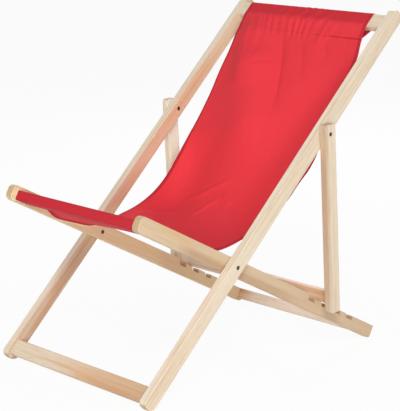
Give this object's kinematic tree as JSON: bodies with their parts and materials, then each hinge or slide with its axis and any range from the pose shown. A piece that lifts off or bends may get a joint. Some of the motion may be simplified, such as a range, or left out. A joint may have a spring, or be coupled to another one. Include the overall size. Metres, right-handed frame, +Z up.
{
  "type": "folding lounge chair",
  "caption": "Wooden folding lounge chair with a red cloth sling: crossed back and seat frames turn on pivot bolts, and a prop frame rests in notches to set the recline.",
  "frame": {"origin": "On the floor, midway between the foremost and rearmost points and on the chair's middle plane.", "axes": "X runs across the chair, Y rearward (the sitter faces -Y), Z up. The chair is stored open, with the prop in the second notch."},
  "size_m": [0.606, 0.8714, 0.8445],
  "materials": {
    "frame_wood": "pale sanded hardwood with a thin clear satin finish",
    "dowel_wood": "plain turned wood",
    "pivot_steel": "darkened zinc-plated steel",
    "washer_steel": "plain zinc-plated steel",
    "sling_cloth": "woven red cotton canvas, matte"
  },
  "bodies": {
    "back_frame": {"back_rail_left": "frame_wood", "back_rail_right": "frame_wood", "foot_crossbar": "frame_wood", "foot_crossbar_dowels": "dowel_wood", "top_crossbar": "frame_wood", "top_crossbar_dowels": "dowel_wood", "seat_pivot_bolt_left": "pivot_steel", "seat_pivot_nut_left": "pivot_steel", "seat_pivot_washer_left": "washer_steel", "seat_pivot_bolt_right": "pivot_steel", "seat_pivot_nut_right": "pivot_steel", "seat_pivot_washer_right": "washer_steel", "prop_pivot_bolt_left": "pivot_steel", "prop_pivot_nut_left": "pivot_steel", "prop_pivot_washer_left": "washer_steel", "prop_pivot_bolt_right": "pivot_steel", "prop_pivot_nut_right": "pivot_steel", "prop_pivot_washer_right": "washer_steel", "sling_top_hem": "sling_cloth", "sling_panel": "sling_cloth"},
    "seat_frame": {"seat_rail_left": "frame_wood", "seat_rail_right": "frame_wood", "front_crossbar": "frame_wood", "front_crossbar_dowels": "dowel_wood", "rear_stretcher": "frame_wood", "rear_stretcher_dowels": "dowel_wood", "sling_front_hem": "sling_cloth"},
    "prop_frame": {"prop_leg_left": "frame_wood", "prop_leg_right": "frame_wood", "prop_crossbar": "frame_wood", "prop_crossbar_dowels": "dowel_wood"}
  },
  "joints": [
    {"name": "seat_fold", "type": "hinge", "parent": "back_frame", "child": "seat_frame", "pos_m": [0, -0.14038, 0.28542], "axis": [1, 0, 0], "range_deg": [0, 72.5], "deforming": ["sling_panel"]},
    {"name": "prop_swing", "type": "hinge", "parent": "back_frame", "child": "prop_frame", "pos_m": [0, 0.15186, 0.56869], "axis": [1, 0, 0], "range_deg": [0, 132]}
  ],
  "couplings": [
    {"joint": "prop_swing", "follows": "seat_fold", "ratio": 1.82}
  ]
}
